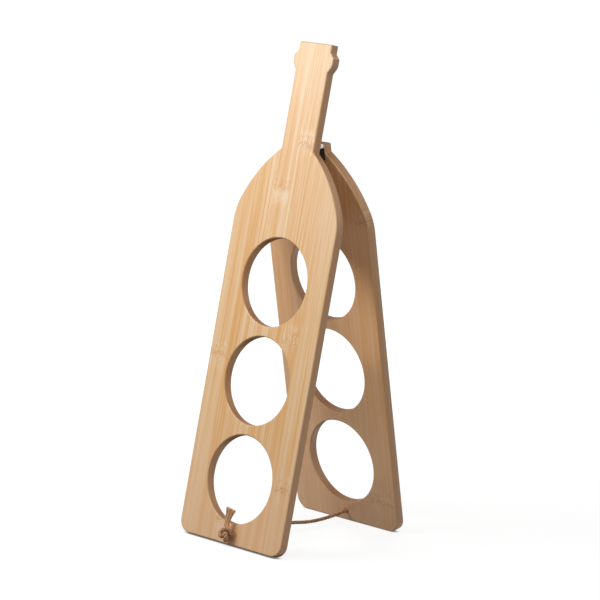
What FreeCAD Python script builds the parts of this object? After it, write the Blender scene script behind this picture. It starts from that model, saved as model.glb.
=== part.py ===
import FreeCAD, Part
import Sketcher
import math
import os

# Folding rack for wine bottles: two bottle-shaped boards of laminated bamboo that lean
# together and are joined by a butt hinge at the neck, with a knotted rope as their stop.
# X runs across the boards, the front board faces -Y, and the feet stand on Z = 0.

# Lengths are in millimetres and angles in degrees
dimensions = {
    # Both boards, from the foot up: the rail below the holes, the holes with webs between
    # them, the rail above them, and the shoulders that narrow to the neck
    "board_width": 145.0,
    "board_thickness": 10.0,
    "edge_bevel": 0.8,
    "lean_angle": 11.25,
    "foot_round": 13.0,
    "foot_rail": 21.4,
    "bottle_hole_diameter": 90.0,
    "bottle_hole_count": 3,
    "hole_web": 10.8,
    "head_rail": 21.0,
    "shoulder_rise": 68.3,
    "shoulder_radius": 143.0,
    "shoulder_round": 50.0,
    "neck_width": 44.5,
    "neck_root_round": 1.6,
    "top_round": 1.4,
    # The back board ends in a short stub of neck
    "stub_length": 9.0,
    # The front board goes on: a long neck, a collar with two slopes, and a lip
    "neck_length": 80.5,
    "collar_step": 5.0,
    "collar_low_slope": 6.7,
    "collar_height": 8.7,
    "collar_high_slope": 4.6,
    "lip_length": 8.7,
    "collar_low_round": 9.0,
    "collar_high_round": 3.0,
    "collar_root_round": 1.6,
    # Hinge, set in from the neck's sides, with its pin's axis below the stub's top
    "hinge_inset": 0.75,
    "hinge_below_top": 0.8,
    "leaf_drop": 15.0,
    "leaf_thickness": 0.9,
    "leaf_bend": 1.6,
    "knuckle_gap": 0.2,
    "knuckle_clearance": 0.3,
    "roll_seam": 0.2,
    "pin_diameter": 2.1,
    "pin_clearance": 0.05,
    "pin_head_lip": 0.5,
    "pin_head_thickness": 0.5,
    "pin_head_gap": 0.05,
    # Countersunk screws, set in from the leaf's side and lower edge
    "screw_side_inset": 8.0,
    "screw_edge_inset": 6.0,
    "screw_shank": 2.6,
    "screw_point": 1.6,
    "screw_clearance": 0.05,
    "screw_tip_room": 0.2,
    "screw_cover": 2.7,
    "recess_length": 2.2,
    "recess_width": 0.5,
    "recess_depth": 0.6,
    # Rope with a stopper knot outside each board
    "rope_diameter": 3.5,
    "rope_clearance": 0.75,
    "rope_exit": 4.0,
    "knot_width": 15.0,
    "knot_height": 12.5,
    "knot_bevel": 3.2,
    "tail_length": 19.0,
    "tail_start_width": 4.6,
    "tail_end_width": 9.0,
    "tail_clearance": 0.8,
}

document = FreeCAD.newDocument("wine_rack")
sheet = document.addObject("Spreadsheet::Sheet", "sizes")
for row, (alias, value) in enumerate(dimensions.items(), start=1):
    sheet.set(f"A{row}", str(value))
    sheet.setAlias(f"A{row}", alias)
document.recompute()


def size(name):
    return float(sheet.get(name))


# A length is written as shares of named sizes, such as {"board_width": 0.5}
def amount(shares):
    return sum(share * size(name) for name, share in shares.items())


def formula(shares):
    return " + ".join(f"{share} * sizes.{name}" for name, share in shares.items())


def half(name):
    return {name: 0.5}


def whole(name):
    return {name: 1}


def total(*parts):
    shares = {}
    for part in parts:
        for name, share in part.items():
            shares[name] = shares.get(name, 0) + share
    return shares


def times(factor, shares):
    return {name: factor * share for name, share in shares.items()}


# Heights along a board, from its foot
holes_up = int(size("bottle_hole_count"))
bottle_hole_height = total(whole("foot_rail"), half("bottle_hole_diameter"))
webs = {"bottle_hole_diameter": holes_up, "hole_web": holes_up - 1}
shoulder_foot = total(whole("foot_rail"), webs, whole("head_rail"))
shoulder_top = total(shoulder_foot, whole("shoulder_rise"))
stub_top = total(shoulder_top, whole("stub_length"))
collar_low = total(shoulder_top, whole("neck_length"))
collar_low_corner = total(collar_low, whole("collar_low_slope"))
collar_high_corner = total(collar_low_corner, whole("collar_height"))
collar_high = total(collar_high_corner, whole("collar_high_slope"))
lip_top = total(collar_high, whole("lip_length"))
board_tops = {"front": lip_top, "back": stub_top}
rope_hole_height = half("foot_rail")
collar_side = {"neck_width": 0.5, "collar_step": 1}

# The hinge and its screws, seen from the pin's axis; the knuckles just clear the boards
hinge_height = total(stub_top, {"hinge_below_top": -1})
bore_radius = {"pin_diameter": 0.5, "pin_clearance": 1}
knuckle_radius = total(bore_radius, whole("leaf_thickness"))
hinge_offset = total(knuckle_radius, whole("knuckle_clearance"))
plate_face = total(hinge_offset, {"leaf_thickness": -1})
hinge_length = {"neck_width": 1, "hinge_inset": -2}
screw_across = {"neck_width": 0.5, "hinge_inset": -1, "screw_side_inset": -1}
screw_drop = {"leaf_drop": 1, "screw_edge_inset": -1}
screw_head_radius = {"screw_shank": 0.5, "leaf_thickness": 1}
screw_hole_depth = {"board_thickness": 1, "screw_cover": -1}
screw_length = total(screw_hole_depth, {"screw_tip_room": -1, "leaf_thickness": 1})

# How far each tail reaches from its knot's middle: the front one stops short of the lower
# bottle hole, because its limp fibres would bend out of a bottle's way
tail_reach = {
    "front": {"foot_rail": 0.5, "tail_clearance": -1},
    "back": {"knot_width": 0.5, "tail_length": 1},
}
tail_turn = {"front": 0, "back": 100}

# Places that follow from the lean: how far the bevelled foot lets a board settle, how far
# out a board's inner face meets the floor, and the height of the hinge's axis
lean = "sizes.lean_angle"
settle = f"(sizes.edge_bevel * sin({lean}))"
axis_along = f"({formula(hinge_height)})"
axis_off = f"({formula(hinge_offset)})"
spread = f"({axis_off} * cos({lean}) + {axis_along} * sin({lean}))"
axis_height = f"({axis_along} * cos({lean}) - {axis_off} * sin({lean}) - {settle})"
turns = {"front": f"rotationx(90 - {lean})", "back": f"rotationz(180) * rotationx(90 - {lean})"}
feet = {"front": f"-{spread}", "back": spread}


def board_place(side):
    return f"placement(vector(0; {feet[side]}; -{settle}); {turns[side]})"


def hinge_place(side):
    return f"placement(vector(0; 0; {axis_height}); {turns[side]})"


def shifted(place, x, y, z):
    return f"{place} * placement(vector({x}; {y}; {z}); rotationx(0))"


# Closer points than this are the same point
tolerance = 0.001


# Sketch helpers
def make_body(label):
    body = document.addObject("PartDesign::Body", label)
    body.Label = label
    return body


def make_sketch(body, role, offset=None):
    plane = [item for item in body.Origin.OriginFeatures if item.Role == role][0]
    sketch = body.newObject("Sketcher::SketchObject", "sketch")
    sketch.AttachmentSupport = [(plane, "")]
    sketch.MapMode = "FlatFace"
    if offset:
        sketch.setExpression("AttachmentOffset.Base.z", formula(offset))
    return sketch


def pin_point(sketch, geometry, vertex, x, y):
    for shares, axis, kind in ((x, -2, "DistanceX"), (y, -1, "DistanceY")):
        if not shares:
            sketch.addConstraint(Sketcher.Constraint("PointOnObject", geometry, vertex, axis))
            continue
        distance = Sketcher.Constraint(kind, -1, 1, geometry, vertex, amount(shares))
        index = sketch.addConstraint(distance)
        sketch.setExpression(f"Constraints[{index}]", formula(shares))


def set_radius(sketch, geometry, shares):
    index = sketch.addConstraint(Sketcher.Constraint("Radius", geometry, amount(shares)))
    sketch.setExpression(f"Constraints[{index}]", formula(shares))


def draw_circle(sketch, x, y, radius):
    centre = FreeCAD.Vector(amount(x), amount(y), 0)
    shape = Part.Circle(centre, FreeCAD.Vector(0, 0, 1), amount(radius))
    geometry = sketch.addGeometry(shape)
    pin_point(sketch, geometry, 3, x, y)
    set_radius(sketch, geometry, radius)


# The arc between two points that bulges to the right of the way from start to end
def bulging_arc(start, end, radius):
    chord = end - start
    reach = math.sqrt(radius**2 - (chord.Length / 2) ** 2)
    left = FreeCAD.Vector(-chord.y, chord.x, 0).normalize()
    centre = (start + end) * 0.5 + left * reach
    first = math.atan2(start.y - centre.y, start.x - centre.x)
    last = math.atan2(end.y - centre.y, end.x - centre.x)
    circle = Part.Circle(centre, FreeCAD.Vector(0, 0, 1), radius)
    return Part.ArcOfCircle(circle, first, last)


# A closed outline through corners, counterclockwise; arcs maps a side's number to its radius
def draw_outline(sketch, corners, arcs=None):
    arcs = arcs or {}
    points = [FreeCAD.Vector(amount(x), amount(y), 0) for x, y in corners]
    first = sketch.GeometryCount
    for side, start in enumerate(points):
        end = points[(side + 1) % len(points)]
        if side in arcs:
            sketch.addGeometry(bulging_arc(start, end, amount(arcs[side])))
        else:
            sketch.addGeometry(Part.LineSegment(start, end))
    for side, (x, y) in enumerate(corners):
        geometry = first + side
        following = first + (side + 1) % len(corners)
        sketch.addConstraint(Sketcher.Constraint("Coincident", geometry, 2, following, 1))
        pin_point(sketch, geometry, 1, x, y)
        if side in arcs:
            set_radius(sketch, geometry, arcs[side])


# Feature helpers
def fail(message):
    raise RuntimeError(message)


def pad(body, sketch, depth, both_ways=False):
    feature = body.newObject("PartDesign::Pad", "pad")
    feature.Profile = sketch
    feature.setExpression("Length", formula(depth))
    feature.SideType = "Symmetric" if both_ways else "One side"
    document.recompute()
    return feature


def cut(body, sketch, depth=None, forward=False, taper=None):
    before = body.Shape.Volume
    feature = body.newObject("PartDesign::Pocket", "pocket")
    feature.Profile = sketch
    if depth:
        feature.setExpression("Length", formula(depth))
        feature.Reversed = forward
    else:
        feature.Type = "ThroughAll"
        feature.SideType = "Symmetric"
    if taper:
        feature.TaperAngle = taper
    document.recompute()
    if not body.Shape.Volume < before - tolerance:
        fail(f"{body.Label}: a pocket cuts nothing")
    return feature


def revolve(body, sketch, axis):
    feature = body.newObject("PartDesign::Revolution", "revolution")
    feature.Profile = sketch
    feature.ReferenceAxis = (sketch, [axis])
    feature.Angle = 360
    document.recompute()
    return feature


def round_edges(body, base, edges, radius):
    feature = body.newObject("PartDesign::Fillet", "fillet")
    feature.Base = (base, edges)
    feature.setExpression("Radius", formula(radius))
    document.recompute()
    return feature


def bevel_edges(body, base, edges, width):
    feature = body.newObject("PartDesign::Chamfer", "bevel")
    feature.Base = (base, edges)
    feature.setExpression("Size", formula(width))
    document.recompute()
    return feature


def whole_pattern(body, kind, name):
    feature = body.newObject(kind, name)
    feature.TransformMode = "Whole shape"
    body.Tip = feature
    return feature


# Names of the edges that stand along Z over one corner of the outline
def edges_over(shape, x, y):
    found = []
    for number, edge in enumerate(shape.Edges, start=1):
        ends = [vertex.Point for vertex in edge.Vertexes]
        over = all(math.hypot(end.x - x, end.y - y) < tolerance for end in ends)
        if over and len(ends) == 2 and abs(ends[0].z - ends[1].z) > tolerance:
            found.append(f"Edge{number}")
    return found


# Names of the edges that lie in a board's two faces
def edges_in_faces(shape, thickness):
    found = []
    for number, edge in enumerate(shape.Edges, start=1):
        box = edge.BoundBox
        rise = min(abs(box.ZMin), abs(box.ZMin - thickness))
        if box.ZLength < tolerance and rise < tolerance:
            found.append(f"Edge{number}")
    return found


# Half of a board's outline, from the middle of its foot up the right side to the top.
# Each corner has the radius that rounds it, or none.
def board_outline(side):
    corners = [
        ({}, {}, None),
        (half("board_width"), {}, "foot_round"),
        (half("board_width"), shoulder_foot, "shoulder_round"),
        (half("neck_width"), shoulder_top, "neck_root_round"),
    ]
    if side == "front":
        corners += [
            (half("neck_width"), collar_low, "collar_root_round"),
            (collar_side, collar_low_corner, "collar_low_round"),
            (collar_side, collar_high_corner, "collar_high_round"),
            (half("neck_width"), collar_high, "collar_root_round"),
        ]
    top = board_tops[side]
    corners += [(half("neck_width"), top, "top_round"), ({}, top, None)]
    return corners


def make_board(side):
    body = make_body(f"{side}_panel")
    corners = board_outline(side)
    outline = make_sketch(body, "XY_Plane")
    shoulder = 2
    draw_outline(outline, [corner[:2] for corner in corners], {shoulder: whole("shoulder_radius")})
    last = pad(body, outline, whole("board_thickness"))
    for x, y, radius in corners:
        if radius:
            edges = edges_over(last.Shape, amount(x), amount(y))
            last = round_edges(body, last, edges, whole(radius))

    mirror = whole_pattern(body, "PartDesign::Mirrored", "mirror")
    mirror.MirrorPlane = (outline, ["V_Axis"])
    mirror.Refine = True
    document.recompute()

    hole = make_sketch(body, "XY_Plane")
    draw_circle(hole, {}, bottle_hole_height, half("bottle_hole_diameter"))
    first_hole = cut(body, hole)
    holes = body.newObject("PartDesign::LinearPattern", "holes")
    holes.Originals = [first_hole]
    holes.Direction = (hole, ["V_Axis"])
    pitch = "(sizes.bottle_hole_diameter + sizes.hole_web)"
    holes.setExpression("Length", f"(sizes.bottle_hole_count - 1) * {pitch}")
    holes.setExpression("Occurrences", "sizes.bottle_hole_count")
    body.Tip = holes
    document.recompute()

    edges = edges_in_faces(holes.Shape, size("board_thickness"))
    bevel_edges(body, holes, edges, whole("edge_bevel"))

    rope_hole = make_sketch(body, "XY_Plane")
    rope_hole_radius = {"rope_diameter": 0.5, "rope_clearance": 1}
    draw_circle(rope_hole, {}, rope_hole_height, rope_hole_radius)
    cut(body, rope_hole)

    screw_holes = make_sketch(body, "XY_Plane")
    height = total(hinge_height, times(-1, screw_drop))
    for way in (-1, 1):
        draw_circle(screw_holes, times(way, screw_across), height, half("screw_shank"))
    cut(body, screw_holes, screw_hole_depth, forward=True)
    body.setExpression("Placement", board_place(side))
    return body


# The rolled sheet of a hinge leaf, seen along the pin: a flat plate against the board, a
# slight bend, and a roll round the pin that ends in an open seam beside the plate
def draw_leaf(sketch):
    thickness = size("leaf_thickness")
    offset = amount(hinge_offset)
    inner = amount(bore_radius)
    outer = amount(knuckle_radius)
    bend = FreeCAD.Vector(-size("leaf_bend"), offset, 0)
    reach = math.acos(outer / bend.Length)
    touch = math.atan2(bend.y, bend.x) - reach
    rise = offset - thickness - size("roll_seam")
    seam = math.pi - math.asin(rise / outer)
    along = FreeCAD.Vector(math.sin(touch), -math.cos(touch), 0)

    def around(radius, angle):
        return FreeCAD.Vector(radius * math.cos(angle), radius * math.sin(angle), 0)

    inner_touch = around(inner, touch)
    inner_bend = inner_touch - along * ((offset - thickness - inner_touch.y) / -along.y)
    drop = -size("leaf_drop")
    corners = [
        FreeCAD.Vector(drop, offset - thickness, 0),
        inner_bend,
        inner_touch,
        around(inner, seam),
        around(outer, seam),
        around(outer, touch),
        bend,
        FreeCAD.Vector(drop, offset, 0),
    ]
    middle = FreeCAD.Vector(0, 0, 0)
    normal = FreeCAD.Vector(0, 0, 1)
    turn = 2 * math.pi
    inner_arc, outer_arc = 2, 4
    for side, start in enumerate(corners):
        end = corners[(side + 1) % len(corners)]
        if side == inner_arc or side == outer_arc:
            radius = inner if side == inner_arc else outer
            circle = Part.Circle(middle, normal, radius)
            sketch.addGeometry(Part.ArcOfCircle(circle, seam, touch + turn))
        else:
            sketch.addGeometry(Part.LineSegment(start, end))

    # The arcs run counterclockwise from the seam to the touching point
    def ends(side):
        return (2, 1) if side == inner_arc else (1, 2)

    joined = [(0, 1), (2, 3), (3, 4), (6, 7), (7, 0)]
    for side, following in joined:
        last_vertex = ends(side)[1]
        first_vertex = ends(following)[0]
        rule = Sketcher.Constraint("Coincident", side, last_vertex, following, first_vertex)
        sketch.addConstraint(rule)
    tangent = [(1, 2), (4, 5)]
    for side, following in tangent:
        last_vertex = ends(side)[1]
        first_vertex = ends(following)[0]
        rule = Sketcher.Constraint("Tangent", side, last_vertex, following, first_vertex)
        sketch.addConstraint(rule)
    sketch.addConstraint(Sketcher.Constraint("Coincident", 5, 2, 6, 1))
    sketch.addConstraint(Sketcher.Constraint("Parallel", 1, 5))
    sketch.addConstraint(Sketcher.Constraint("Horizontal", 0))
    for side in (inner_arc, outer_arc):
        sketch.addConstraint(Sketcher.Constraint("Coincident", side, 3, -1, 1))
    sketch.addConstraint(Sketcher.Constraint("PointOnObject", -1, 1, 3))
    set_radius(sketch, inner_arc, bore_radius)
    set_radius(sketch, outer_arc, knuckle_radius)
    pin_point(sketch, 0, 1, {"leaf_drop": -1}, plate_face)
    pin_point(sketch, 6, 1, {"leaf_bend": -1}, hinge_offset)
    pin_point(sketch, 6, 2, {"leaf_drop": -1}, hinge_offset)
    seam_rise = total(plate_face, {"roll_seam": -1})
    rule = Sketcher.Constraint("DistanceY", -1, 1, outer_arc, 1, amount(seam_rise))
    index = sketch.addConstraint(rule)
    sketch.setExpression(f"Constraints[{index}]", formula(seam_rise))


# Spans along the pin where a leaf leaves room for the other leaf's knuckles, as shares of
# the hinge's length; an end span runs past the hinge's end
knuckle_spans = {"front": [(-0.3, -0.1), (0.1, 0.3)], "back": [(-0.6, -0.3), (-0.1, 0.1), (0.3, 0.6)]}


# A countersink narrows by as much as it deepens
sink_angle = 45


def make_leaf(side):
    body = make_body(f"hinge_leaf_{side}")
    profile = make_sketch(body, "YZ_Plane")
    draw_leaf(profile)
    pad(body, profile, hinge_length, both_ways=True)

    room = make_sketch(body, "XY_Plane")
    for start, end in knuckle_spans[side]:
        left = total(times(start, hinge_length), {"knuckle_gap": -0.5})
        right = total(times(end, hinge_length), {"knuckle_gap": 0.5})
        low = times(-1, hinge_offset)
        corners = [(left, low), (right, low), (right, hinge_offset), (left, hinge_offset)]
        draw_outline(room, corners)
    cut(body, room)

    sinks = make_sketch(body, "XY_Plane", plate_face)
    for way in (-1, 1):
        radius = total(screw_head_radius, whole("screw_clearance"))
        draw_circle(sinks, times(way, screw_across), times(-1, screw_drop), radius)
    cut(body, sinks, whole("leaf_thickness"), forward=True, taper=-sink_angle)
    body.setExpression("Placement", hinge_place(side))
    return body


# The pin lies in all the knuckles, and its ends are spread into low heads
def make_pin():
    body = make_body("hinge_pin")
    profile = make_sketch(body, "XY_Plane")
    shaft = half("pin_diameter")
    head = total(shaft, whole("pin_head_lip"))
    rim = total(times(0.5, hinge_length), whole("pin_head_gap"))
    edge = total(rim, half("pin_head_thickness"))
    end = total(rim, whole("pin_head_thickness"))
    right_side = [(end, shaft), (edge, head), (rim, head), (rim, shaft)]
    left_side = [(times(-1, along), radius) for along, radius in reversed(right_side)]
    corners = [(times(-1, end), {}), (end, {}), *right_side, *left_side]
    draw_outline(profile, corners)
    revolve(body, profile, "H_Axis")
    body.setExpression("Placement", hinge_place("front"))
    return body


# Two countersunk wood screws, flush in the leaf, with a cross recess
def make_screws(side):
    body = make_body(f"hinge_screws_{side}")
    body.AllowCompound = True
    profile = make_sketch(body, "XZ_Plane")
    shank = half("screw_shank")
    shank_end = total(screw_length, {"screw_point": -1})
    corners = [
        ({}, {}),
        (screw_head_radius, {}),
        (shank, whole("leaf_thickness")),
        (shank, shank_end),
        ({}, screw_length),
    ]
    draw_outline(profile, corners)
    revolve(body, profile, "V_Axis")

    recess = make_sketch(body, "XY_Plane")
    draw_cross(recess)
    cut(body, recess, whole("recess_depth"), forward=True)

    pair = whole_pattern(body, "PartDesign::LinearPattern", "pair")
    pair.Direction = (profile, ["H_Axis"])
    pair.setExpression("Length", formula(times(2, screw_across)))
    pair.Occurrences = 2
    document.recompute()
    first = [formula(times(-1, screw_across)), formula(times(-1, screw_drop)), formula(plate_face)]
    body.setExpression("Placement", shifted(hinge_place(side), *first))
    return body


def draw_cross(sketch):
    near = half("recess_width")
    far = half("recess_length")
    corners = []
    for across, up in ((1, 1), (-1, 1), (-1, -1), (1, -1)):
        side_end = (times(across, far), times(up, near))
        middle = (times(across, near), times(up, near))
        top_end = (times(across, near), times(up, far))
        arm = [side_end, middle, top_end]
        corners += arm if across == up else arm[::-1]
    draw_outline(sketch, corners)


# A stopper knot, pressed flat against a board's outer face, as one plain body: an eight-sided
# lump of its turns round the hole's axis, and the flared tail that leaves it sideways
def make_knot(side):
    body = make_body(f"knot_{side}")
    lump = body.newObject("PartDesign::AdditivePrism", "lump")
    lump.Polygon = 8
    lump.setExpression("Circumradius", "sizes.knot_width / 2")
    lump.setExpression("Height", "sizes.knot_height")
    document.recompute()
    bevel_edges(body, lump, edges_in_faces(lump.Shape, size("knot_height")), whole("knot_bevel"))

    tail = body.newObject("PartDesign::AdditiveWedge", "tail")
    start, end = "tail_start_width", "tail_end_width"
    for direction, width in (("X", start), ("Z", start), ("X2", end), ("Z2", start)):
        tail.setExpression(f"{direction}min", formula({width: -0.5}))
        tail.setExpression(f"{direction}max", formula({width: 0.5}))
    tail.Ymin = 0
    tail.setExpression("Ymax", formula(tail_reach[side]))
    base = "vector(0; 0; sizes.knot_height / 2)"
    tail.setExpression("Placement", f"placement({base}; rotationz({tail_turn[side]}))")
    document.recompute()
    place = shifted(board_place(side), "0", formula(rope_hole_height), "sizes.board_thickness")
    body.setExpression("Placement", place)
    return body


# The rope's route between the boards, in the order from the front board to the back one:
# across, along as a share of the way from the middle to a board, and height
rope_route = [
    (-1.5, -0.648, 7.8),
    (-3.0, -0.337, 8.9),
    (-3.6, -0.019, 9.4),
    (-1.0, 0.306, 6.0),
    (0.1, 0.63, 6.8),
]


def rope_points():
    angle = math.radians(size("lean_angle"))
    rise = FreeCAD.Vector(0, math.sin(angle), math.cos(angle))
    out = FreeCAD.Vector(0, -math.cos(angle), math.sin(angle))
    sunk = size("edge_bevel") * math.sin(angle)
    foot_out = amount(hinge_offset) * math.cos(angle) + amount(hinge_height) * math.sin(angle)
    foot = FreeCAD.Vector(0, -foot_out, -sunk)
    inner_hole = foot + rise * amount(rope_hole_height)
    knot_end = inner_hole + out * size("board_thickness")
    exit_run = inner_hole - out * size("rope_exit")
    span = -inner_hole.y
    middle = [FreeCAD.Vector(x, share * span, height) for x, share, height in rope_route]

    def across(point):
        return FreeCAD.Vector(point.x, -point.y, point.z)

    return [knot_end, exit_run, *middle, across(exit_run), across(knot_end)]


# Straight runs joined by tangent arcs; each arc takes this share of its shorter run
arc_share = 0.45


def rope_wire(points):
    edges = []
    radii = []
    start = points[0]
    for before, corner, after in zip(points, points[1:], points[2:]):
        back = (before - corner).normalize()
        on = (after - corner).normalize()
        reach = arc_share * min((before - corner).Length, (after - corner).Length)
        half_turn = (math.pi - back.getAngle(on)) / 2
        radius = reach / math.tan(half_turn)
        first = corner + back * reach
        last = corner + on * reach
        inward = (back + on).normalize()
        top = corner + inward * (radius / math.cos(half_turn) - radius)
        edges.append(Part.LineSegment(start, first).toShape())
        edges.append(Part.Arc(first, top, last).toShape())
        radii.append(radius)
        start = last
    edges.append(Part.LineSegment(start, points[-1]).toShape())
    print("rope arc radii, mm:", [round(radius, 1) for radius in radii])
    return Part.Wire(edges)


def make_rope():
    points = rope_points()
    wire = rope_wire(points)
    radius = size("rope_diameter") / 2
    end = Part.Wire([Part.Circle(points[0], points[1] - points[0], radius).toShape()])
    tube = wire.makePipeShell([end], True, True)
    ratio = tube.Volume / (math.pi * radius**2 * wire.Length)
    print("rope length, mm:", round(wire.Length, 2), "volume ratio:", round(ratio, 5))
    if abs(ratio - 1) > tolerance:
        fail("rope: its volume doesn't match its length")
    rope = document.addObject("Part::Feature", "rope")
    rope.Label = "rope"
    rope.Shape = tube
    rope.Placement = FreeCAD.Placement()
    return rope


parts = [
    make_board("front"),
    make_board("back"),
    make_leaf("front"),
    make_leaf("back"),
    make_pin(),
    make_screws("front"),
    make_screws("back"),
    make_rope(),
    make_knot("front"),
    make_knot("back"),
]
document.recompute()

for item in document.Objects:
    if "Invalid" in item.State or "Error" in item.State:
        fail(f"{item.Label}: not built")
for part in parts:
    if part.Shape.isNull() or not part.Shape.isValid():
        fail(f"{part.Label}: its shape isn't valid")

os.makedirs("parts", exist_ok=True)
for part in parts:
    part.Shape.exportStep(f"parts/{part.Label}.step")
    print(part.Label, "solids", len(part.Shape.Solids), "volume", round(part.Shape.Volume, 1))
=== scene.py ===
import math
import bpy
import numpy as np
from mathutils import Matrix, Vector


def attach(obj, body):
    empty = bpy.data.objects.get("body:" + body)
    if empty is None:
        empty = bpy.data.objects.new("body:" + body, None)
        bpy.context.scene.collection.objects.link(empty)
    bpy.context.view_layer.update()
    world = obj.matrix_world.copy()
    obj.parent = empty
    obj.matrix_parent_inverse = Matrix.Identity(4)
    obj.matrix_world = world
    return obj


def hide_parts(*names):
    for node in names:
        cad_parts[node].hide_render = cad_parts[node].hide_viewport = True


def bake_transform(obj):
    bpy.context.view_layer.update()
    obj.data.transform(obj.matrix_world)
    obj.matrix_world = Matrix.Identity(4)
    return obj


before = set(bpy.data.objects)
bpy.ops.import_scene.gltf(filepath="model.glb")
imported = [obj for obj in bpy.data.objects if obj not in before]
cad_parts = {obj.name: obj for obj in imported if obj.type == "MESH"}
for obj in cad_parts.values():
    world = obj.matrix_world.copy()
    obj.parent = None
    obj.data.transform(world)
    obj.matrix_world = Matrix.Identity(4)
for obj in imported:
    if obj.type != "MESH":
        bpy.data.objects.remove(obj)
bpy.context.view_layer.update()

board = {
    "lean": math.radians(11.25),
    "foot": 0.0823404,  # from the rack's middle to the inner face's sharp lower corner
    "sole": -0.0001561,  # height of that corner, which the bevel cuts off
    "thickness": 0.01,
}
leanSine, leanCosine = math.sin(board["lean"]), math.cos(board["lean"])
print("frame loaded:", len(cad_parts), "nodes")


def newObject(name, data):
    # An object at the origin, unturned, in the scene
    item = bpy.data.objects.new(name, data)
    bpy.context.scene.collection.objects.link(item)
    return item


cameraView = {
    "azimuth": 44.24,
    "elevation": 10.08,
    "roll": 2.17,
    "lens": 175.3,
    "place": (2.03573, -2.09195, 0.76137),
}


def makeCamera(view):
    # back = (sin a cos e, -cos a cos e, sin e) for azimuth a and elevation e, and right is the
    # level direction turned by the roll toward the upright one
    azimuth, elevation, roll = (math.radians(view[key]) for key in ("azimuth", "elevation", "roll"))
    flat = math.cos(elevation)
    back = Vector((math.sin(azimuth) * flat, -math.cos(azimuth) * flat, math.sin(elevation)))
    level = Vector((math.cos(azimuth), math.sin(azimuth), 0))
    right = level * math.cos(roll) + back.cross(level) * math.sin(roll)
    data = bpy.data.cameras.new("camera")
    data.lens = view["lens"]
    data.sensor_width = 36
    data.clip_start, data.clip_end = 0.05, 50
    camera = newObject("camera", data)
    turn = Matrix((right, back.cross(right), back)).transposed().to_4x4()
    camera.matrix_world = Matrix.Translation(view["place"]) @ turn
    bpy.context.scene.camera = camera


makeCamera(cameraView)
print("camera placed")


# Meshes from whole arrays
def newMesh(name, points, faces, smooth):
    # One object from a row of points and each face's list of point numbers
    mesh = bpy.data.meshes.new(name)
    mesh.from_pydata(points.tolist(), [], faces)
    mesh.polygons.foreach_set("use_smooth", [smooth] * len(mesh.polygons))
    mesh.update()
    return newObject(name, mesh)


def unit(vectors):
    # Each vector divided by its length
    return vectors / np.maximum(np.linalg.norm(vectors, axis=-1, keepdims=True), 1e-12)


def tangents(path):
    # The direction of travel: each point's next neighbour less its last one
    return unit(np.gradient(path, axis=-2))


def runLength(path):
    # Distance along the path from its start to each point
    steps = np.linalg.norm(np.diff(path, axis=-2), axis=-1)
    start = np.zeros(steps.shape[:-1] + (1,))
    return np.concatenate([start, np.cumsum(steps, axis=-1)], axis=-1)


def squareAxes(path, outward):
    # Two directions square to the path: up = outward less its part along the path, side = up x along
    along = tangents(path)
    up = unit(outward - np.sum(outward * along, axis=-1, keepdims=True) * along)
    return np.cross(up, along), up


def tubeGrid(paths, outward, radii, sides):
    # Tubes round many paths at once: point = path + radius * (cos a * side + sin a * up)
    side, up = squareAxes(paths, outward)
    angle = np.linspace(0, 2 * math.pi, sides, endpoint=False)
    ring = np.cos(angle)[:, None] * side[..., None, :] + np.sin(angle)[:, None] * up[..., None, :]
    return paths[..., None, :] + radii[..., None, None] * ring, angle


def tubeFaces(tubes, stations, sides, first):
    # Quads between neighbouring rings, and one many-sided cap at each end
    number = first + np.arange(tubes * stations * sides).reshape(tubes, stations, sides)
    after = np.roll(number, -1, axis=2)
    corners = [number[:, :-1], after[:, :-1], after[:, 1:], number[:, 1:]]
    quads = np.stack(corners, axis=-1).reshape(-1, 4)
    return quads.tolist() + number[:, 0, ::-1].tolist() + number[:, -1, :].tolist()


class TubeSet:
    # Collects tubes of several kinds into one mesh; tint is 0 on twisted strands, above 0 on fibres
    def __init__(self):
        self.points, self.faces, self.fibres, self.tints, self.count = [], [], [], [], 0

    def add(self, paths, outward, radii, sides, tint, twist=0.0):
        # fibre = (cos turn, sin turn, way in mm), with turn = angle round the tube + way * twist;
        # the steps of 1.7 and 31 give each tube its own part of the noise
        tubes, stations = paths.shape[:2]
        grid, angle = tubeGrid(paths, outward, np.broadcast_to(radii, (tubes, stations)), sides)
        number = np.arange(tubes)[:, None, None]
        travel = runLength(paths)[..., None] * 1000
        turned = angle + travel * twist + number * 1.7
        way = np.broadcast_to(travel, turned.shape) + number * 31.0
        fibre = np.stack([np.cos(turned), np.sin(turned), way], axis=-1)
        tints = np.broadcast_to(np.asarray(tint, float).reshape(-1, 1, 1), turned.shape)
        self.points.append(grid.reshape(-1, 3))
        self.fibres.append(fibre.reshape(-1, 3))
        self.tints.append(tints.reshape(-1))
        self.faces += tubeFaces(tubes, stations, sides, self.count)
        self.count += tubes * stations * sides

    def piece(self, name):
        # All the tubes as one object, with the fibre and tint of each point for its material
        piece = newMesh(name, np.concatenate(self.points), self.faces, True)
        fibre = piece.data.attributes.new("fibre", "FLOAT_VECTOR", "POINT")
        fibre.data.foreach_set("vector", np.concatenate(self.fibres).reshape(-1).astype(np.float32))
        tint = piece.data.attributes.new("tint", "FLOAT", "POINT")
        tint.data.foreach_set("value", np.concatenate(self.tints).astype(np.float32))
        return piece


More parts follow.
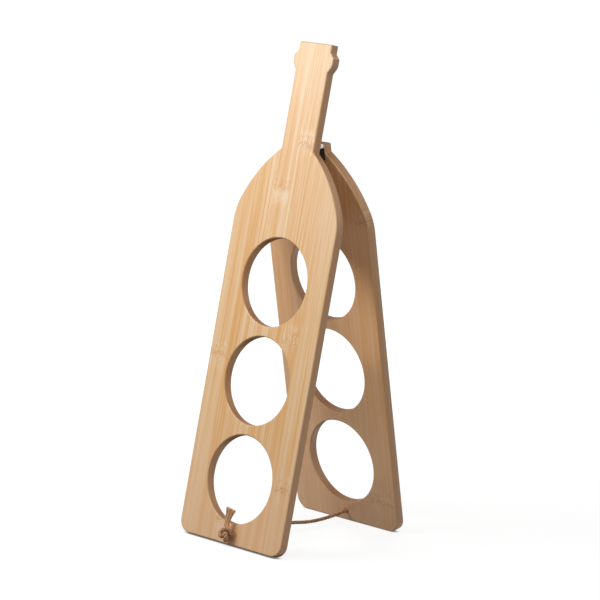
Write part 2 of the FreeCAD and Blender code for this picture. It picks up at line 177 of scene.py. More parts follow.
# Rope between the boards: three strands wound round a smooth line
rope = {
    "diameter": 0.0035,
    "strands": 3,
    "strandShare": 0.6,  # a strand's radius over the rope's
    "reachShare": 0.52,  # the distance from the rope's middle to a strand's, over the same
    "pitch": 0.0105,  # one turn of the strands
    "twist": -0.9,  # turn of the fibres on a strand, per mm
    "stations": 420,
    "sides": 10,
    "hairs": 260,
    "hairReach": 0.0022,
    "hairRadius": 0.00007,
    "seed": 4,
    "route": [
        (0, -0.090061, 0.012289),
        (0, -0.07633, 0.009558),
        (-0.0015, -0.052004, 0.0078),
        (-0.003, -0.027045, 0.0089),
        (-0.0036, -0.001525, 0.0094),
        (-0.001, 0.024557, 0.006),
        (0.0001, 0.050559, 0.0068),
        (0, 0.07633, 0.009558),
        (0, 0.090061, 0.012289),
    ],
}
hair = {"stations": 6, "sides": 3, "tip": 0.00002, "tint": 0.9}  # on the rope and the knots


def smoothLine(route, stations):
    # Evenly spaced points of the route's own smooth curve
    data = bpy.data.curves.new("route", "CURVE")
    data.dimensions = "3D"
    data.resolution_u = 40
    spline = data.splines.new("NURBS")
    spline.points.add(len(route) - 1)
    for point, place in zip(spline.points, route):
        point.co = (*place, 1)
    spline.order_u = 3
    spline.use_endpoint_u = True
    holder = newObject("route", data)
    bpy.context.view_layer.update()
    mesh = bpy.data.meshes.new_from_object(holder)
    points = np.empty(len(mesh.vertices) * 3)
    mesh.vertices.foreach_get("co", points)
    points = points.reshape(-1, 3)
    bpy.data.objects.remove(holder)
    bpy.data.meshes.remove(mesh)
    travel = runLength(points)
    even = np.linspace(0, travel[-1], stations)
    return np.stack([np.interp(even, travel, points[:, k]) for k in range(3)], axis=1)


def woundStrands(path, outward, strands, pitch, reach):
    # Strand k runs at path + reach * (cos p * side + sin p * up), p = 2 pi (way / pitch + k / strands)
    side, up = squareAxes(path, outward)
    turns = runLength(path)[None, :] / pitch + np.arange(strands)[:, None] / strands
    phase = 2 * math.pi * turns
    away = np.cos(phase)[..., None] * side + np.sin(phase)[..., None] * up
    return path + reach * away, away


def addHairs(tubes, path, radius, values, seed):
    # Short fibres that leave the surface at a slant and curl away:
    # start + length * (way * slant + way squared * lift * away)
    rng = np.random.default_rng(seed)
    count = values["hairs"]
    at = rng.integers(4, len(path) - 4, count)
    along = tangents(path)[at]
    spin = rng.uniform(0, 2 * math.pi, count)
    helper = unit(np.cross(along, [0.3, 0.2, 0.93]))  # any direction that the path never takes
    away = np.cos(spin)[:, None] * helper + np.sin(spin)[:, None] * np.cross(along, helper)
    way = np.linspace(0, 1, hair["stations"])[None, :, None]
    length = rng.uniform(0.4, 1, count)[:, None, None] * values["hairReach"]
    slant = along * rng.choice([-1, 1], count)[:, None]
    lift = rng.uniform(0.15, 0.8, count)[:, None, None]
    start = path[at] + away * radius * 0.9
    curl = way * slant[:, None, :] + way**2 * lift * away[:, None, :]
    hairs = start[:, None, :] + length * curl
    square = np.broadcast_to(np.cross(along, away)[:, None, :], hairs.shape)
    taper = np.linspace(values["hairRadius"], hair["tip"], hair["stations"])
    tubes.add(hairs, square, taper, hair["sides"], hair["tint"])


def makeRope(values):
    # Strands wound round the smooth line, and loose hairs on its surface
    line = smoothLine(values["route"], values["stations"])
    upward = np.broadcast_to([0.0, 0.0, 1.0], line.shape)
    radius = values["diameter"] / 2
    reach = radius * values["reachShare"]
    strands, away = woundStrands(line, upward, values["strands"], values["pitch"], reach)
    tubes = TubeSet()
    tubes.add(strands, away, radius * values["strandShare"], values["sides"], 0.0, values["twist"])
    addHairs(tubes, line, radius, values, values["seed"])
    return tubes.piece("ropeStrands"), line


ropePiece, ropeLine = makeRope(rope)
print("rope made:", len(ropePiece.data.polygons), "faces")


# Knots: the same rope in a stopper knot, and its end opened into a frayed tail
knot = {
    "rope": 0.0046,  # thickness of the slack rope in the knot
    "strands": 3,
    "strandShare": 0.55,
    "turns": 7,  # of the strands along the whole knot
    "twist": -0.8,
    "stations": 360,
    "sides": 12,
    "ring": 0.0038,
    "weave": 0.0020,
    "height": 0.0033,
    "middle": 0.0060,  # of the knot, outward from the board
    "stretch": 1.12,  # up the board
    "hairs": 500,
    "hairReach": 0.0024,
    "hairRadius": 0.00008,
    "front": {
        "size": 1.0,
        "lift": 0.0107,  # up the board
        "seed": 11,
        "spin": 42.0,
        "tailTurn": 0.0,
        "tailLength": 0.0224,
        "fan": 0.0035,
        "bend": 0.0017,
    },
    "back": {
        "size": 0.86,
        "lift": 0.0095,
        "seed": 23,
        "spin": 75.0,
        "tailTurn": 100.0,
        "tailLength": 0.0205,
        "fan": 0.003,
        "bend": 0.0008,
    },
}
tail = {
    "fibres": 300,
    "stations": 16,
    "sides": 4,
    "rootRadius": 0.0003,  # of one fibre
    "tipRadius": 0.00012,
    "halfWidth": 0.0019,  # where it leaves the knot
    "outward": 0.0066,  # its start, from the board
    "along": 0.0035,  # its start, from the knot's middle
    "slant": 0.3,  # its flat side turned away from the board's face
    "opensAt": 0.42,
    "thickFan": 0.0008,
    "sway": 0.00028,
    "bulge": 0.22,
}


def boardFrame(side):
    # Origin at the foot of the inner face, then the directions across, up the board and outward;
    # the back board's are the front one's, turned half round the vertical
    facing = 1.0 if side == "front" else -1.0
    origin = np.array([0, -board["foot"] * facing, board["sole"]])
    across = np.array([facing, 0, 0])
    rise = np.array([0, leanSine * facing, leanCosine])
    out = np.array([0, -leanCosine * facing, leanSine])
    return origin, across, rise, out


def knotLine(values, spin):
    # A trefoil on a ring: (ring + weave cos 3t) * (cos 2t, sin 2t), and height * sin 3t outward
    t = np.linspace(0, 2 * math.pi, values["stations"])
    distance = values["ring"] + values["weave"] * np.cos(3 * t)
    turned = 2 * t + math.radians(spin)
    x = distance * np.cos(turned)
    y = distance * np.sin(turned) * values["stretch"]
    return np.stack([x, y, values["middle"] + values["height"] * np.sin(3 * t)], axis=1)


def tailFibres(own, start, direction, spread, outward):
    # Fibre = start + root * bulge + way * length * direction + fan + sway, where the fan opens as
    # (way - opensAt) to the power 1.35, and the tint goes in waves across the tail
    rng = np.random.default_rng(own["seed"])
    count = tail["fibres"]
    each = (count, 1, 1)
    way = np.linspace(0, 1, tail["stations"])[None, :, None]
    across = rng.uniform(-1, 1, each)
    thick = rng.uniform(-1, 1, each)
    length = own["tailLength"] * (1 - 0.05 * across + rng.uniform(-0.07, 0.03, each))
    depth = tail["halfWidth"] * np.sqrt(1 - 0.75 * across**2)
    root = tail["halfWidth"] * across * spread + depth * 0.8 * thick * outward
    opening = np.maximum(way - tail["opensAt"], 0) ** 1.35 * 2.1
    sideways = (own["fan"] * across + own["bend"]) * spread
    fan = opening * (sideways + tail["thickFan"] * thick * outward)
    wave = np.sin(way * rng.uniform(3, 9, each) + rng.uniform(0, 6, each))
    sway = wave * tail["sway"] * way
    bulge = 1 + tail["bulge"] * np.sin(way * 5.0)
    fibres = start + root * bulge + way * length * direction + fan
    fibres = fibres + sway * spread + sway * 0.6 * outward
    stripes = 0.62 + 0.3 * np.cos(across[:, 0, 0] * 7.5 + 0.5)
    tint = np.clip(stripes + rng.uniform(-0.3, 0.3, count), 0.3, 0.95)
    return fibres, np.broadcast_to(outward, fibres.shape), tint


def makeKnot(side, values):
    # Knot = place + x * across + y * rise + z * outward for the trefoil's (x, y, z) times its size
    origin, across, rise, out = boardFrame(side)
    own = values[side]
    size = own["size"]
    place = origin + rise * own["lift"] + out * board["thickness"]
    local = knotLine(values, own["spin"]) * size
    line = place + local[:, :1] * across + local[:, 1:2] * rise + local[:, 2:] * out
    radial = line - (place + out * values["middle"] * size)
    radius = values["rope"] / 2 * size
    strandRadius = radius * values["strandShare"]
    pitch = runLength(line)[-1] / values["turns"]
    reach = radius - strandRadius
    strands, away = woundStrands(line, radial, values["strands"], pitch, reach)
    tubes = TubeSet()
    tubes.add(strands, away, strandRadius, values["sides"], 0.0, values["twist"])

    turn = math.radians(own["tailTurn"])
    direction = -math.sin(turn) * across + math.cos(turn) * rise
    sideways = np.cross(direction, out) * (1 if side == "front" else -1)
    spread = unit(sideways * 0.94 - out * tail["slant"])
    start = place + (out * tail["outward"] + direction * tail["along"]) * size
    fibres, square, tint = tailFibres(own, start, direction, spread, out)
    taper = np.linspace(tail["rootRadius"], tail["tipRadius"], tail["stations"])
    tubes.add(fibres, square, taper, tail["sides"], tint)
    addHairs(tubes, line, radius, values, own["seed"] + 1)
    return tubes.piece(f"{side}KnotAndTail")


frontKnot = makeKnot("front", knot)
backKnot = makeKnot("back", knot)
print("knots made:", len(frontKnot.data.polygons), len(backKnot.data.polygons), "faces")


# Material helpers
def linearColour(red, green, blue):
    # From a picture's 0 to 255 to the scene's light: ((p + 0.055) / 1.055) to the power 2.4,
    # and p / 12.92 near black
    parts = [value / 255 for value in (red, green, blue)]
    light = [p / 12.92 if p <= 0.04045 else ((p + 0.055) / 1.055) ** 2.4 for p in parts]
    return (*light, 1.0)


class Nodes:
    # Short names for the node editor's steps; a value is a number or another step's output
    def __init__(self, tree):
        self.tree = tree

    def add(self, kind, inputs=(), **settings):
        # A step with its settings first, because they decide which inputs it has
        node = self.tree.nodes.new(kind)
        for key, value in settings.items():
            setattr(node, key, value)
        for key, value in dict(inputs).items():
            self.plug(node.inputs[key], value)
        return node

    def plug(self, socket, value):
        # A link from an output, or else a plain number
        if isinstance(value, bpy.types.NodeSocket):
            self.tree.links.new(value, socket)
        else:
            socket.default_value = value

    def calc(self, operation, *values):
        # One operation on its values in their order
        node = self.add("ShaderNodeMath", operation=operation)
        for socket, value in zip(node.inputs, values):
            self.plug(socket, value)
        return node.outputs[0]

    def times(self, first, second):
        # first * second
        return self.calc("MULTIPLY", first, second)

    def plus(self, first, second):
        # first + second
        return self.calc("ADD", first, second)

    def minus(self, first, second):
        # first - second
        return self.calc("SUBTRACT", first, second)

    def scaleAdd(self, value, factor, extra):
        # value * factor + extra
        return self.calc("MULTIPLY_ADD", value, factor, extra)

    def size(self, value):
        # The value without its sign
        return self.calc("ABSOLUTE", value)

    def larger(self, first, second):
        # The larger of the two
        return self.calc("MAXIMUM", first, second)

    def ramp(self, value, low, high, start=0.0, end=1.0):
        # Smooth step from start to end as value goes from low to high
        node = self.add("ShaderNodeMapRange", interpolation_type="SMOOTHSTEP")
        for socket, entry in zip(node.inputs, (value, low, high, start, end)):
            self.plug(socket, entry)
        return node.outputs[0]

    def mix(self, factor, first, second):
        # Colour = first * (1 - factor) + second * factor
        node = self.add("ShaderNodeMix", {0: factor, 6: first, 7: second}, data_type="RGBA")
        return node.outputs[2]

    def vector(self, x, y, z):
        # Three numbers as one vector
        return self.add("ShaderNodeCombineXYZ", {0: x, 1: y, 2: z}).outputs[0]

    def split(self, vector):
        # A vector's three numbers
        return self.add("ShaderNodeSeparateXYZ", {0: vector}).outputs

    def noise(self, point, detail=2.0, rough=0.5, scale=1.0):
        # Soft noise at point * scale; detail adds finer layers, each one rough times as strong
        inputs = {"Vector": point, "Scale": scale, "Detail": detail, "Roughness": rough}
        return self.add("ShaderNodeTexNoise", inputs).outputs[0]

    def coordinates(self, kind):
        # The surface's place or its normal, in the frame that all pieces share
        return self.add("ShaderNodeTexCoord").outputs[kind]

    def seenRays(self):
        # 1 for what the camera sees directly, mirrored or through, 0 for the light that it throws
        rays = self.add("ShaderNodeLightPath").outputs
        turned = self.larger(rays["Is Glossy Ray"], rays["Is Transmission Ray"])
        return self.larger(rays["Is Camera Ray"], turned)


def newMaterial(name):
    # A material with one shader, ready for its inputs
    material = bpy.data.materials.new(name)
    material.use_nodes = True
    tree = material.node_tree
    tree.nodes.clear()
    nodes = Nodes(tree)
    shader = nodes.add("ShaderNodeBsdfPrincipled")
    nodes.add("ShaderNodeOutputMaterial", {"Surface": shader.outputs[0]})
    return material, nodes, shader


# Bamboo: flat-pressed strips with fine fibres and a few node marks; lengths are in mm
bamboo = {
    "cream": linearColour(243, 211, 171),
    "honey": linearColour(229, 172, 103),
    "amber": linearColour(223, 158, 84),
    "fleck": linearColour(205, 134, 66),
    "pale": linearColour(253, 234, 204),
    "rosy": linearColour(240, 195, 157),
    "edge": linearColour(213, 159, 117),
    "endGrain": linearColour(132, 90, 58),
    "halfWidth": 72.5,
    "thickness": 10.0,
    "stripWidth": 24.17,
    "stripShift": 12.0,  # between the two plies
    # Fibre layers: scale across and along, place in the noise, detail, roughness, share in the tone
    "layers": {
        "broad": (0.11, 0.0025, 3.0, 1.0, 0.5, 1.0),
        "streak": (0.34, 0.0045, 11.0, 2.0, 0.55, 1.7),
        "fine": (0.85, 0.011, 29.0, 2.0, 0.6, 1.9),
        "hair": (2.6, 0.05, 47.0, 2.0, 0.6, 0.5),
    },
    "stripShare": 0.26,  # of each strip's own tone
    "richer": 0.08,
    "contrast": 1.1,
    "calmer": 0.5,  # less contrast in the calmest strip
    "insideCalmer": 0.4,  # and on the side that faces the other board
    # how strongly the ply that faces the other board takes the edge tone, a painted shade
    "insideShade": 0.2,
    # Ramps: from and to which value, and the strength at each
    "toneRamp": (-0.62, 0.62),
    "streakRamp": (0.6, 0.76, 0.0, 0.4),
    "glueRamp": (0.485, 0.5, 0.0, 0.35),  # by the distance from a strip's middle, in strips
    "sawnRamp": (0.8, 0.4, 0.0, 0.62),
    "endRamp": (0.45, 0.95),
    "poreRamp": (0.45, 0.65, 0.0, 0.45),
    "poreScale": 1.6,
    # Tints by height: the colour, the heights where it starts and is full, its strength; the pale one near
    # the top is a painted sheen, the rosy one towards the foot a painted shade
    "tints": [("pale", 410.0, 490.0, 0.22), ("rosy", 130.0, 10.0, 0.45)],
    "gloss": 0.36,
    "rounding": 0.0014,  # of the corners, in metres
    # Node marks: across from the middle and up the board, half width, strength of the fleck
    # band, of the pale zone below and of the pale squiggles above, and seed
    "front": [
        (10.5, 409.5, 11.0, 1.2, 0.1, 0.7, 1.3),
        (-12.1, 362.0, 12.0, 0.6, 1.0, 0.1, 2.1),
        (-60.4, 185.5, 11.0, 0.8, 0.35, 0.3, 4.9),
        (36.3, 213.0, 11.5, 0.7, 0.2, 1.0, 3.7),
        (60.4, 67.5, 11.5, 0.9, 0.1, 0.4, 5.3),
        (-13.0, 22.0, 10.5, 0.7, 0.4, 0.3, 9.4),
    ],
    "back": [
        (61.0, 336.0, 11.0, 0.8, 0.1, 0.4, 6.1),
        (54.0, 31.0, 17.0, 0.7, 0.2, 0.5, 7.7),
        (-36.0, 203.0, 11.5, 0.8, 0.4, 0.5, 8.2),
    ],
}


# Zones of a node mark, in mm above its middle line: where each one starts and where it is full
markZones = {
    "wave": 7.0,  # how far the whole mark moves up and down across the strip
    "band": (4.6, 1.6),
    "upperLine": 7.6,  # middle of the weaker band
    "upper": (2.0, 0.6, 0.0, 0.45),
    "belowFoot": (-22.0, -7.0),
    "belowTop": (1.0, -3.0),
    "overTop": (20.0, 9.0),
    "overFoot": (-2.0, 3.0),
    "near": (24.0, 4.0),  # where the fibres bend
}


def nodeMark(nodes, u, v, w, mark):
    # A band of brown flecks and pale dots, with a pale speckled zone below and squiggles above it;
    # up = v - the mark's height + a slow wave across the strip
    centre, height, halfWidth, strength, paleBelow, paleAbove, seed = mark
    times, scaleAdd, ramp, vector = nodes.times, nodes.scaleAdd, nodes.ramp, nodes.vector
    across = nodes.calc("DIVIDE", nodes.minus(u, centre), halfWidth)
    inside = ramp(nodes.size(across), 1.0, 0.9)
    wave = nodes.noise(vector(times(u, 0.13), seed, 0.0), 1.0)
    moved = scaleAdd(wave, markZones["wave"], -markZones["wave"] / 2)
    up = nodes.plus(nodes.minus(v, height), moved)

    # Dots in round cells, the dark ones and the pale ones by each cell's chance
    point = vector(times(u, 0.8), times(v, 0.5), scaleAdd(w, 0.3, seed * 9.0))
    inputs = {"Vector": point, "Scale": 1.0, "Randomness": 0.9}
    cell = nodes.add("ShaderNodeTexVoronoi", inputs, voronoi_dimensions="3D", feature="F1")
    dots = ramp(cell.outputs["Distance"], 0.5, 0.22)
    chance = nodes.add("ShaderNodeSeparateColor", {0: cell.outputs["Color"]}).outputs[0]
    darkDots = times(dots, ramp(chance, 0.5, 0.56))
    paleDots = times(dots, ramp(chance, 0.52, 0.44))

    # The band with a weaker one above it, and the zones below and above
    band = ramp(nodes.size(up), *markZones["band"])
    fromUpper = nodes.size(nodes.minus(up, markZones["upperLine"]))
    row = nodes.larger(band, ramp(fromUpper, *markZones["upper"]))
    brown = times(times(row, scaleAdd(darkDots, 0.8, 0.3)), strength)
    lower = times(ramp(up, *markZones["belowFoot"]), ramp(up, *markZones["belowTop"]))
    over = times(ramp(up, *markZones["overTop"]), ramp(up, *markZones["overFoot"]))
    swirl = nodes.noise(vector(times(u, 0.2), times(v, 0.3), seed))
    curl = scaleAdd(swirl, 3.4, times(u, 0.9))
    lines = ramp(nodes.noise(vector(curl, times(v, 0.07), seed + 8.0), 1.0), 0.5, 0.62)
    dotted = times(row, times(paleDots, 0.95 * strength))
    below = times(lower, scaleAdd(paleDots, 0.6 * paleBelow, 0.32 * paleBelow))
    above = times(over, times(lines, 0.75 * paleAbove))
    light = nodes.larger(dotted, nodes.larger(below, above))

    # The fibres near a mark bend: near * (6 * wobble + across - 3)
    wobble = nodes.noise(vector(times(u, 0.25), times(v, 0.16), seed + 3.0), 1.0)
    near = times(inside, ramp(nodes.size(up), *markZones["near"]))
    bend = times(near, scaleAdd(wobble, 6.0, nodes.minus(across, 3.0)))
    return times(brown, inside), times(light, inside), bend, near


def boardMarks(nodes, place, marks):
    # Over all marks: the strongest fleck and pale tone, the sum of the bends, the strongest nearness
    flecks, pales, bends, nears = 0.0, 0.0, 0.0, 0.0
    for mark in marks:
        fleck, pale, bend, near = nodeMark(nodes, *place, mark)
        flecks = nodes.larger(fleck, flecks)
        pales = nodes.larger(pale, pales)
        bends = nodes.plus(bend, bends)
        nears = nodes.larger(near, nears)
    return flecks, pales, bends, nears


def boardPlace(nodes, side):
    # The rack's place turned about x into the board's own, less its origin, in mm: across, up the
    # board, and through it
    facing = 1 if side == "front" else -1
    turn = math.atan2(-leanCosine, leanSine * facing)
    shift = -(Matrix.Rotation(turn, 3, "X") @ Vector(boardFrame(side)[0].tolist()))
    inputs = {"Vector": nodes.coordinates("Object"), "Location": shift, "Rotation": (turn, 0, 0)}
    turned = nodes.add("ShaderNodeMapping", inputs).outputs[0]
    scaled = nodes.add("ShaderNodeVectorMath", {0: turned, "Scale": 1000.0}, operation="SCALE")
    return nodes.split(scaled.outputs[0])


def facesAlong(nodes, direction):
    # How squarely the surface faces along a direction: the size of normal . direction
    inputs = {0: nodes.coordinates("Normal"), 1: direction.tolist()}
    product = nodes.add("ShaderNodeVectorMath", inputs, operation="DOT_PRODUCT")
    return nodes.size(product.outputs["Value"])


def makeBamboo(side, values, seed):
    # Tone = (shares * fibre layers + the strip's own tone - their middle) * the strip's contrast;
    # it leads from cream to honey, and marks, painted sheen and shade, sawn edges and end grain lie over
    # that
    material, nodes, shader = newMaterial(f"{side}Bamboo")
    times, scaleAdd, ramp, mix = nodes.times, nodes.scaleAdd, nodes.ramp, nodes.mix
    u, v, through = boardPlace(nodes, side)
    flecks, pales, bends, nears = boardMarks(nodes, (u, v, through), values[side])

    # The ply that faces forward is whole strips from edge to edge, the other one is half a strip over
    depth = through if side == "front" else nodes.plus(through, values["thickness"])
    forward = nodes.calc("GREATER_THAN", depth, values["thickness"] / 2)
    rearward = nodes.minus(1.0, forward)
    inside = rearward if side == "front" else forward  # the ply that faces the other board
    shifted = scaleAdd(rearward, values["stripShift"], nodes.plus(u, values["halfWidth"]))
    strip = nodes.calc("DIVIDE", shifted, values["stripWidth"])
    number = scaleAdd(rearward, 17.0, nodes.calc("FLOOR", strip))
    inputs = {"W": nodes.plus(number, seed * 50.0)}
    dice = nodes.add("ShaderNodeTexWhiteNoise", inputs, noise_dimensions="1D").outputs["Color"]
    tone, chance, calm = nodes.add("ShaderNodeSeparateColor", {0: dice}).outputs

    # Long noise along the fibres, from another place for each strip
    bentU = nodes.minus(u, bends)
    layers = {}
    richness = times(tone, values["stripShare"])
    for key, (acrossScale, alongScale, start, detail, rough, share) in values["layers"].items():
        along = scaleAdd(v, alongScale, scaleAdd(chance, 90.0, start))
        point = nodes.vector(times(bentU, acrossScale), along, times(through, acrossScale))
        layers[key] = nodes.noise(point, detail, rough)
        richness = scaleAdd(layers[key], share, richness)
    unrest = times(nears, nodes.minus(layers["fine"], 0.5))
    richness = scaleAdd(unrest, 3.0, richness)
    shares = sum(layer[-1] for layer in values["layers"].values()) + values["stripShare"]
    contrast = scaleAdd(calm, -values["calmer"], values["contrast"])
    contrast = nodes.minus(contrast, times(inside, values["insideCalmer"]))
    richness = times(nodes.minus(richness, shares / 2 - values["richer"]), contrast)

    colour = mix(ramp(richness, *values["toneRamp"]), values["cream"], values["honey"])
    colour = mix(ramp(layers["streak"], *values["streakRamp"]), colour, values["amber"])
    # Painted sheen near the top and painted shade towards the foot, by height
    for tint, low, high, strength in values["tints"]:
        colour = mix(ramp(v, low, high, 0.0, strength), colour, values[tint])
    # The ply that faces the other board takes some of the edge tone: a painted shade
    colour = mix(times(inside, values["insideShade"]), colour, values["edge"])
    fromMiddle = nodes.size(nodes.minus(nodes.calc("FRACT", strip), 0.5))
    colour = mix(ramp(fromMiddle, *values["glueRamp"]), colour, values["amber"])

    # Sawn edges are browner, partly their own colour and partly a painted shade for the redder light
    # bounced onto the shaded sides, and end grain shows where the surface faces along the board
    rise, out = boardFrame(side)[2:]
    colour = mix(ramp(facesAlong(nodes, out), *values["sawnRamp"]), colour, values["edge"])
    endFace = ramp(facesAlong(nodes, rise), *values["endRamp"])
    poreScale = values["poreScale"]
    porePoint = nodes.vector(times(u, poreScale), times(through, poreScale), seed)
    pores = ramp(nodes.noise(porePoint, 1.0), *values["poreRamp"])
    endTone = mix(pores, values["endGrain"], values["fleck"])
    colour = mix(times(endFace, 0.8), colour, endTone)
    elsewhere = nodes.minus(1.0, endFace)
    colour = mix(times(flecks, elsewhere), colour, values["fleck"])
    colour = mix(times(pales, elsewhere), colour, values["pale"])
    nodes.plug(shader.inputs["Base Color"], colour)

    rough = ramp(layers["hair"], 0.3, 0.7, values["gloss"] - 0.05, values["gloss"] + 0.07)
    nodes.plug(shader.inputs["Roughness"], scaleAdd(endFace, 0.5, rough))
    eased = nodes.add("ShaderNodeBevel", {"Radius": values["rounding"]}, samples=6).outputs[0]
    inputs = {"Strength": 0.2, "Distance": 0.0001, "Height": layers["hair"], "Normal": eased}
    nodes.plug(shader.inputs["Normal"], nodes.add("ShaderNodeBump", inputs).outputs[0])
    return material


frontBamboo = makeBamboo("front", bamboo, 14)
backBamboo = makeBamboo("back", bamboo, 2)
print("bamboo made")


# Plated steel of the hinge
steel = {
    "colour": linearColour(214, 214, 212),
    "dull": linearColour(176, 177, 178),
    "shade": linearColour(110, 108, 106),  # painted shade on the leaves' faces inside the fold
    "cut": linearColour(32, 27, 22),  # sheared edges of the leaves
    "foldTop": 0.4002,  # height where the fold's painted shade starts
    "foldFull": 0.3994,
    "gloss": 0.24,
}


def makeSteel(values):
    # Fine scuffs along x; below the fold's top the faces get a painted shade, and the faces across x there
    # a darker painted shadow
    material, nodes, shader = newMaterial("platedSteel")
    times, ramp, mix = nodes.times, nodes.ramp, nodes.mix
    place = nodes.coordinates("Object")
    inputs = {"Vector": place, "Scale": (300, 2600, 2600)}
    scuff = nodes.noise(nodes.add("ShaderNodeMapping", inputs).outputs[0])
    cloud = nodes.noise(place, scale=420.0)
    colour = mix(ramp(cloud, 0.35, 0.7), values["colour"], values["dull"])
    endways = nodes.size(nodes.split(nodes.coordinates("Normal"))[0])
    foldShade = ramp(nodes.split(place)[2], values["foldTop"], values["foldFull"])
    foldShadowEnds = times(ramp(endways, 0.6, 0.9), foldShade)
    colour = mix(foldShadowEnds, mix(foldShade, colour, values["shade"]), values["cut"])
    nodes.plug(shader.inputs["Base Color"], colour)
    shader.inputs["Metallic"].default_value = 1.0
    rough = ramp(scuff, 0.3, 0.7, values["gloss"], values["gloss"] + 0.14)
    nodes.plug(shader.inputs["Roughness"], nodes.scaleAdd(foldShadowEnds, 0.3, rough))
    inputs = {"Strength": 0.15, "Distance": 0.00003, "Height": scuff}
    nodes.plug(shader.inputs["Normal"], nodes.add("ShaderNodeBump", inputs).outputs[0])
    return material


# Jute, whose fibres follow the strands
jute = {
    "dark": linearColour(126, 86, 56),
    "middle": linearColour(206, 156, 117),
    "light": linearColour(252, 213, 170),
    "core": linearColour(218, 152, 104),
    # Ramps: from and to which tone or tint, and the strength at each
    "middleRamp": (0.55, 0.85),
    "lightRamp": (0.75, 1.05),
    "looseRamp": (0.2, 0.75),
    "patchRamp": (0.35, 0.6, 0.35, 0.0),
}


def makeJute(values):
    # Tone = 0.9 * fine lines + 0.7 * patches, from dark to light; loose fibres go by their own tint
    material, nodes, shader = newMaterial("twistedJute")
    times, ramp, mix = nodes.times, nodes.ramp, nodes.mix
    fibre = nodes.add("ShaderNodeAttribute", attribute_name="fibre").outputs["Vector"]
    tint = nodes.add("ShaderNodeAttribute", attribute_name="tint").outputs["Fac"]
    x, y, way = nodes.split(fibre)
    lines = nodes.noise(nodes.vector(times(x, 5.0), times(y, 5.0), times(way, 0.3)), 2.0, 0.6)
    patches = nodes.noise(nodes.vector(x, y, times(way, 0.22)), 1.0)
    tone = nodes.scaleAdd(lines, 0.9, times(patches, 0.7))
    colour = mix(ramp(tone, *values["middleRamp"]), values["dark"], values["middle"])
    colour = mix(ramp(tone, *values["lightRamp"]), colour, values["light"])
    loose = mix(ramp(tint, *values["looseRamp"]), values["core"], values["light"])
    loose = mix(ramp(patches, *values["patchRamp"]), loose, values["middle"])
    colour = mix(nodes.calc("GREATER_THAN", tint, 0.05), colour, loose)
    nodes.plug(shader.inputs["Base Color"], colour)
    shader.inputs["Roughness"].default_value = 0.9
    shader.inputs["Specular IOR Level"].default_value = 0.2
    inputs = {"Strength": 0.6, "Distance": 0.0003, "Height": lines}
    nodes.plug(shader.inputs["Normal"], nodes.add("ShaderNodeBump", inputs).outputs[0])
    return material


steelFinish = makeSteel(steel)
juteFinish = makeJute(jute)
print("steel and jute made")


# Each piece gets its finish; the rope's place is baked into its mesh and the knots ride on their bodies
def finishNode(name, material):
    # The CAD node keeps its mesh and gets this material only
    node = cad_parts[name]
    node.data.materials.clear()
    node.data.materials.append(material)


finishNode("front_panel", frontBamboo)
finishNode("back_panel", backBamboo)
for name in ("hinge_leaf_front", "hinge_leaf_back", "hinge_pin", "hinge_screws_front", "hinge_screws_back"):
    finishNode(name, steelFinish)

ropePiece.data.materials.append(juteFinish)
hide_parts("rope")
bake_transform(ropePiece)
for piece, side in ((frontKnot, "front"), (backKnot, "back")):
    piece.data.materials.append(juteFinish)
    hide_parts(f"knot_{side}")
    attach(piece, side)
ropeLength = float(runLength(ropeLine)[-1])
print("pieces ride on their bodies, rope length", round(ropeLength, 4))


# Floor, light and background
studio = {
    "floorHalf": 8.0,
    "floorTone": 0.18,
    "floorGlow": 0.87,  # seen by the camera under the rack, rising to 1 farther off
    "glowRing": (0.3, 1.1),  # distances between which it rises
    "gap": 0.007,  # under the feet, where a painted shadow darkens the floor
    "worldLight": 0.14,
    "target": (0, 0, 0.25),
    "lamps": {
        "keyLight": {"place": (-0.55, -0.85, 0.85), "size": 0.6, "power": 8.9},
        "fillLight": {"place": (1.7, -0.2, 0.6), "size": 1.2, "power": 4.2},
        "topLight": {"place": (0.08, -0.42, 1.4), "size": 0.6, "power": 4.7},
        "rearLight": {"place": (-0.7, 1.2, 1.0), "size": 1.0, "power": 12.0},
    },
}


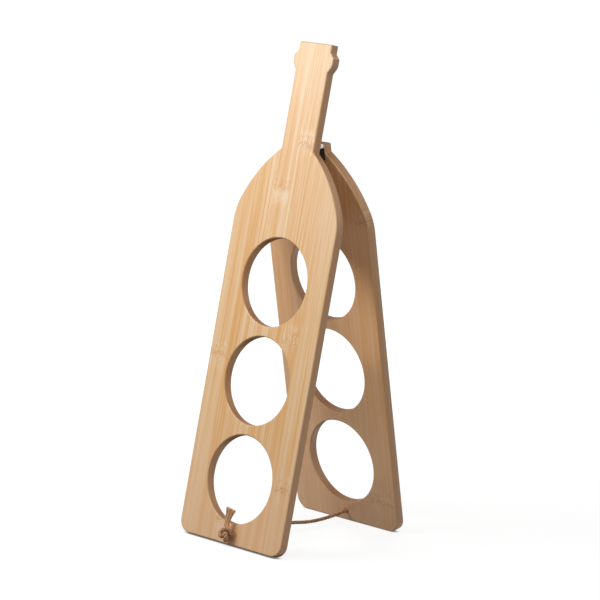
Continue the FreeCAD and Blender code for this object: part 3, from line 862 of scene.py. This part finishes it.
def aimedLight(name, values, target):
    # A square lamp that faces the target: direction = target - place
    data = bpy.data.lights.new(name, "AREA")
    data.shape = "SQUARE"
    data.size = values["size"]
    data.energy = values["power"]
    lamp = newObject(name, data)
    lamp.location = values["place"]
    direction = Vector(target) - Vector(values["place"])
    lamp.rotation_euler = direction.to_track_quat("-Z", "Y").to_euler()


def makeFloor(values):
    # Its glow for the camera = the rise with distance * the openness above it, which paints a dark shadow
    # under the feet
    half = values["floorHalf"]
    corners = np.array([(-half, -half, 0), (half, -half, 0), (half, half, 0), (-half, half, 0)])
    floor = newMesh("paleFloor", corners, [[0, 1, 2, 3]], False)
    material, nodes, shader = newMaterial("paleFloor")
    tone = values["floorTone"]
    shader.inputs["Base Color"].default_value = (tone, tone, tone, 1)
    shader.inputs["Roughness"].default_value = 0.9
    shader.inputs["Specular IOR Level"].default_value = 0.0
    shader.inputs["Emission Color"].default_value = (1, 1, 1, 1)
    inputs = {0: nodes.coordinates("Object")}
    away = nodes.add("ShaderNodeVectorMath", inputs, operation="LENGTH").outputs["Value"]
    rising = nodes.ramp(away, *values["glowRing"], values["floorGlow"], 1.0)
    openness = nodes.add("ShaderNodeAmbientOcclusion", {"Distance": values["gap"]}, samples=8)
    glow = nodes.times(rising, nodes.ramp(openness.outputs["AO"], 0.0, 0.6, 0.08, 1.0))
    nodes.plug(shader.inputs["Emission Strength"], nodes.times(nodes.seenRays(), glow))
    floor.data.materials.append(material)


def makeWorld(values):
    # White where it is seen; as light it is only worldLight strong: seen * (1 - light) + light
    world = bpy.data.worlds.new("studio")
    world.use_nodes = True
    bpy.context.scene.world = world
    tree = world.node_tree
    tree.nodes.clear()
    nodes = Nodes(tree)
    light = values["worldLight"]
    strength = nodes.scaleAdd(nodes.seenRays(), 1.0 - light, light)
    inputs = {"Color": (1, 1, 1, 1), "Strength": strength}
    background = nodes.add("ShaderNodeBackground", inputs)
    nodes.add("ShaderNodeOutputWorld", {0: background.outputs[0]})


makeFloor(studio)
makeWorld(studio)
for name, values in studio["lamps"].items():
    aimedLight(name, values, studio["target"])
bpy.context.scene.view_settings.view_transform = "Standard"
print("studio ready")
